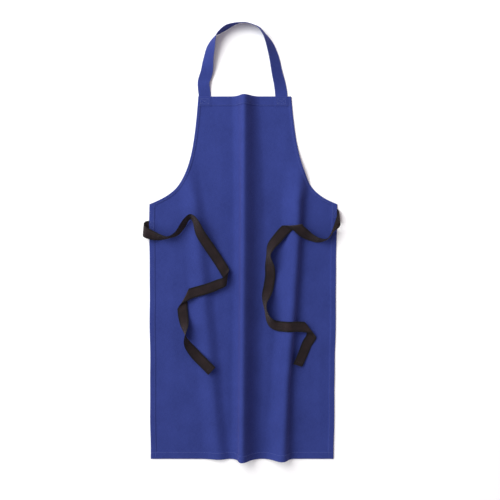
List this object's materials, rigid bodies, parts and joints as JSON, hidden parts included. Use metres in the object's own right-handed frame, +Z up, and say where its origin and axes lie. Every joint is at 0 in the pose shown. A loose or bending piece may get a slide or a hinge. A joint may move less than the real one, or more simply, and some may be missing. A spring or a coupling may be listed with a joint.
{
  "type": "welding apron",
  "caption": "Bib welding apron in blue cotton, laid flat with soft folds, with a sewn neck loop and two black tape waist ties.",
  "frame": {"origin": "on the table under the middle of the apron's box, the two waist ties left out", "axes": "+X to the side of the right-hand tie as seen from above, +Y from the bottom hem to the neck loop, +Z up from the table through the front of the cloth"},
  "size_m": [0.5814, 1.2864, 0.0429],
  "materials": {
    "cotton_cloth": "matt woven cotton twill",
    "tie_tape": "matt woven cotton tape",
    "sewing_thread": "matt spun thread",
    "black_thread": "matt spun thread"
  },
  "bodies": {
    "apron": {"panel": "cotton_cloth", "neck_strap_end_left": "cotton_cloth", "neck_strap_end_right": "cotton_cloth", "waist_tie_end_left": "tie_tape", "waist_tie_end_right": "tie_tape", "top_hem_thread": "sewing_thread", "bottom_hem_thread": "sewing_thread", "side_hem_thread_left": "sewing_thread", "side_hem_thread_right": "sewing_thread", "armhole_thread_left": "sewing_thread", "armhole_thread_right": "sewing_thread", "neck_strap_thread_left": "sewing_thread", "neck_strap_thread_right": "sewing_thread", "waist_tie_thread_left": "sewing_thread", "waist_tie_thread_right": "sewing_thread"},
    "neck_loop": {"neck_strap": "cotton_cloth", "neck_strap_topstitch": "sewing_thread"},
    "left_tie": {"waist_tie_left": "tie_tape", "tie_tip_thread_left": "black_thread"},
    "right_tie": {"waist_tie_right": "tie_tape", "tie_tip_thread_right": "black_thread"}
  },
  "joints": [
    {"name": "neck_loop_swing", "type": "hinge", "parent": "apron", "child": "neck_loop", "pos_m": [0, 0.425, 0.0024], "axis": [1, 0, 0], "range_deg": [0, 150]},
    {"name": "left_tie_swing", "type": "hinge", "parent": "apron", "child": "left_tie", "pos_m": [-0.296, 0.032, 0.014], "axis": [-0.087, -0.9962, 0], "range_deg": [0, 150]},
    {"name": "right_tie_swing", "type": "hinge", "parent": "apron", "child": "right_tie", "pos_m": [0.282, 0.065, 0.012], "axis": [-0.139, 0.9903, 0], "range_deg": [0, 150]}
  ]
}
